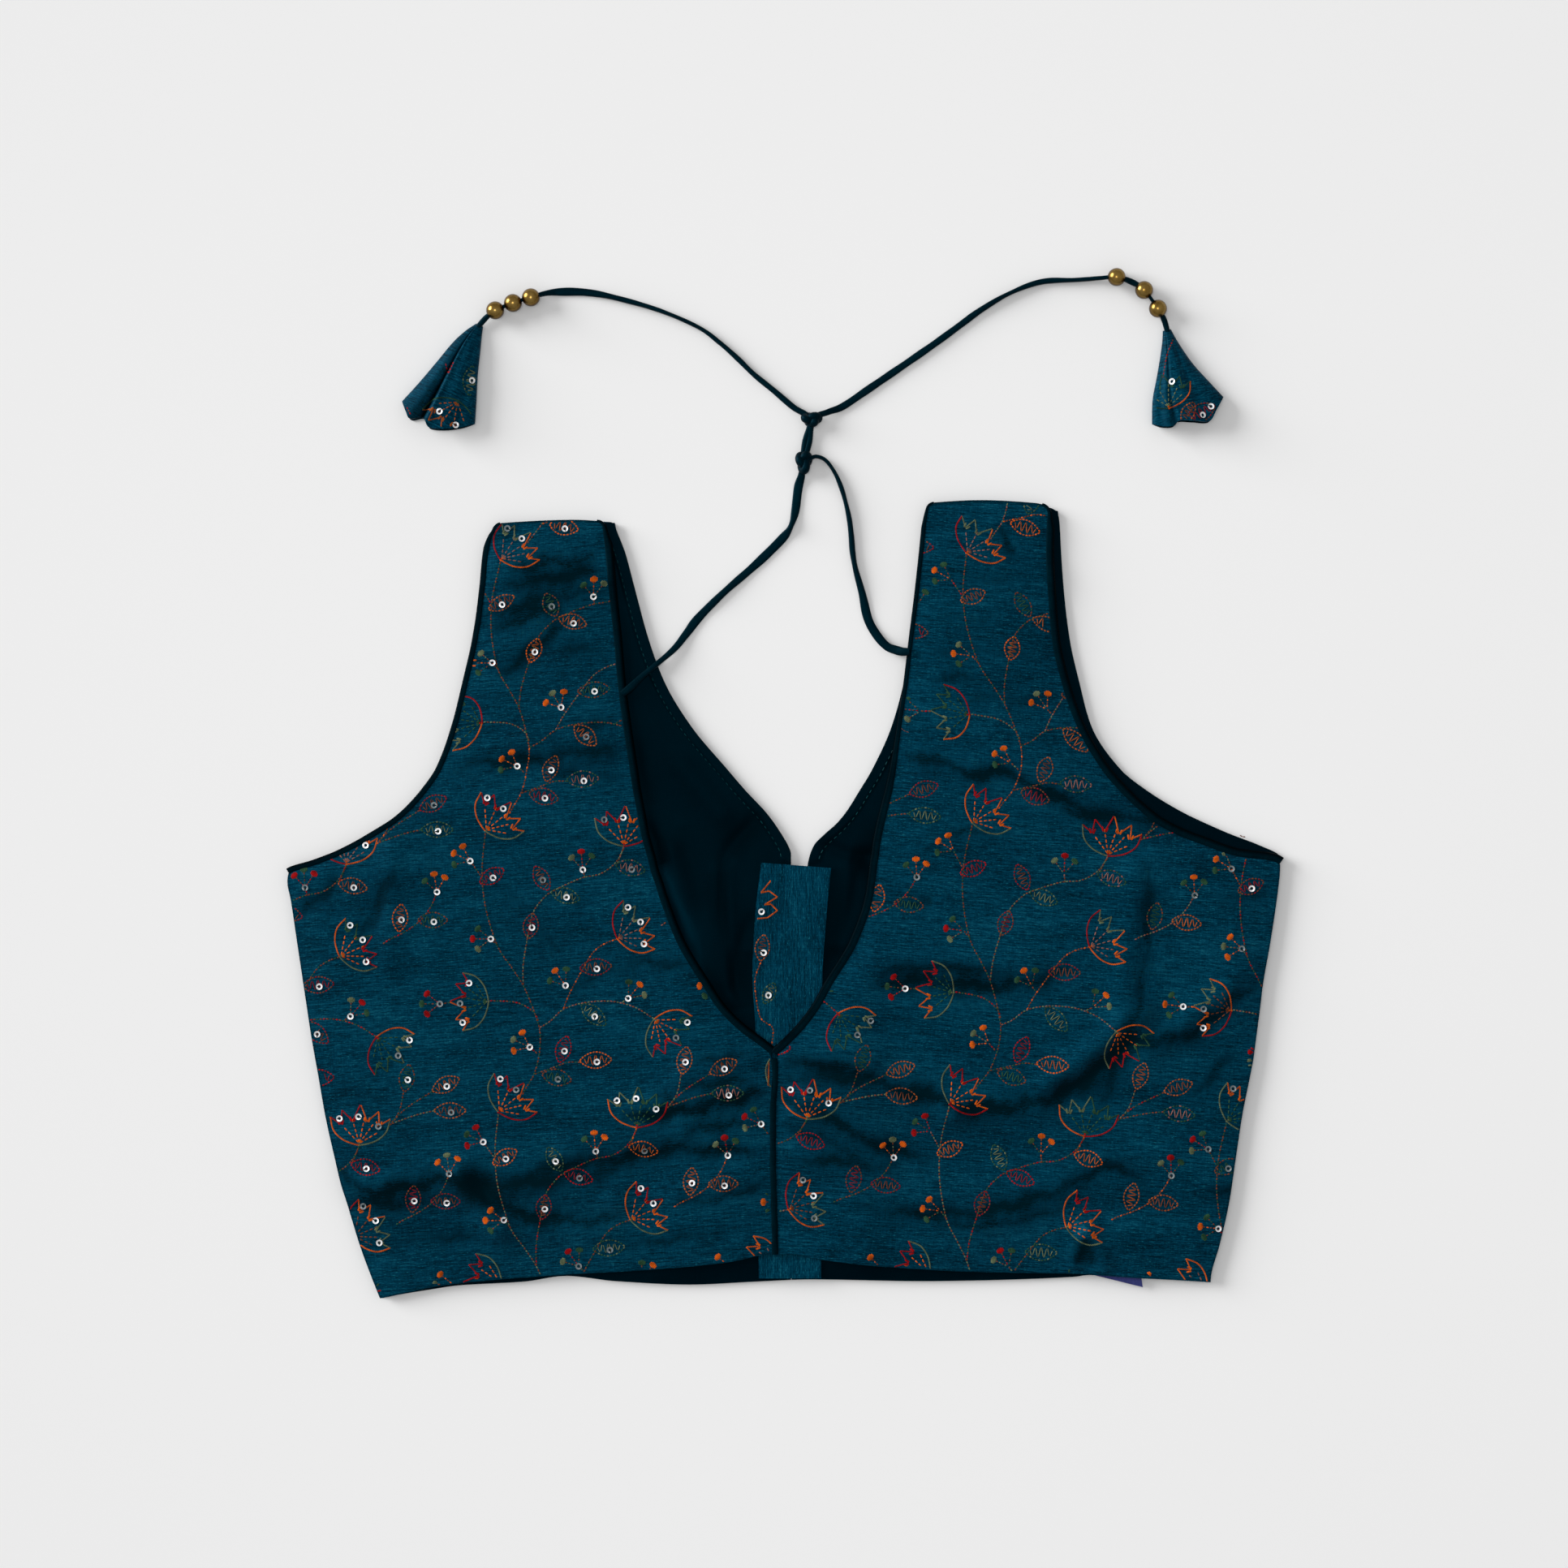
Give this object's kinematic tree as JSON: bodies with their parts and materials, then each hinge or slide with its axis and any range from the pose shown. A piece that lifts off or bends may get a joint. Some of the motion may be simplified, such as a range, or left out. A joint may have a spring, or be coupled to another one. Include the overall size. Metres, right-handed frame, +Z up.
{
  "type": "sleeveless choli blouse laid flat",
  "caption": "Sleeveless teal embroidered blouse laid flat with its back up, a deep V back and tied strings with beads and cloth tassels.",
  "frame": {"origin": "on the surface the blouse lies on, under the middle of the garment without its tied strings", "axes": "+Z up out of the back of the garment, +Y towards the shoulders, +X across to the right of the back as it is seen"},
  "size_m": [0.4593, 0.4763, 0.0097],
  "materials": {
    "embroidered_cloth": "teal slub silk-look cloth with thread embroidery and ring sequins",
    "lining": "smooth very dark teal lining cloth",
    "binding": "dark teal bias binding and piping",
    "dori": "dark teal bias cloth tube",
    "bead": "satin antique gold",
    "label": "plain woven navy tape"
  },
  "bodies": {
    "root": {"front_left_shell": "embroidered_cloth", "front_right_shell": "embroidered_cloth", "front_left_lining": "lining", "front_right_lining": "lining", "front_placket": "embroidered_cloth", "back_left_panel": "embroidered_cloth", "back_right_panel": "embroidered_cloth", "back_neck_binding_left": "binding", "back_neck_binding_right": "binding", "armhole_piping_left": "binding", "armhole_piping_right": "binding", "centre_back_piping": "binding", "care_label": "label", "dori_left_lower": "dori", "dori_right_lower": "dori", "dori_stem": "dori", "dori_left_tail": "dori", "dori_right_tail": "dori", "dori_right_link_1": "dori", "dori_right_link_2": "dori", "dori_left_link_3": "dori", "dori_right_link_3": "dori", "knot_lower": "dori", "knot_upper": "dori", "bead_left_1": "bead", "bead_left_2": "bead", "bead_left_3": "bead", "bead_right_1": "bead", "bead_right_2": "bead", "bead_right_3": "bead", "tassel_left": "embroidered_cloth", "tassel_right": "embroidered_cloth"}
  },
  "joints": []
}
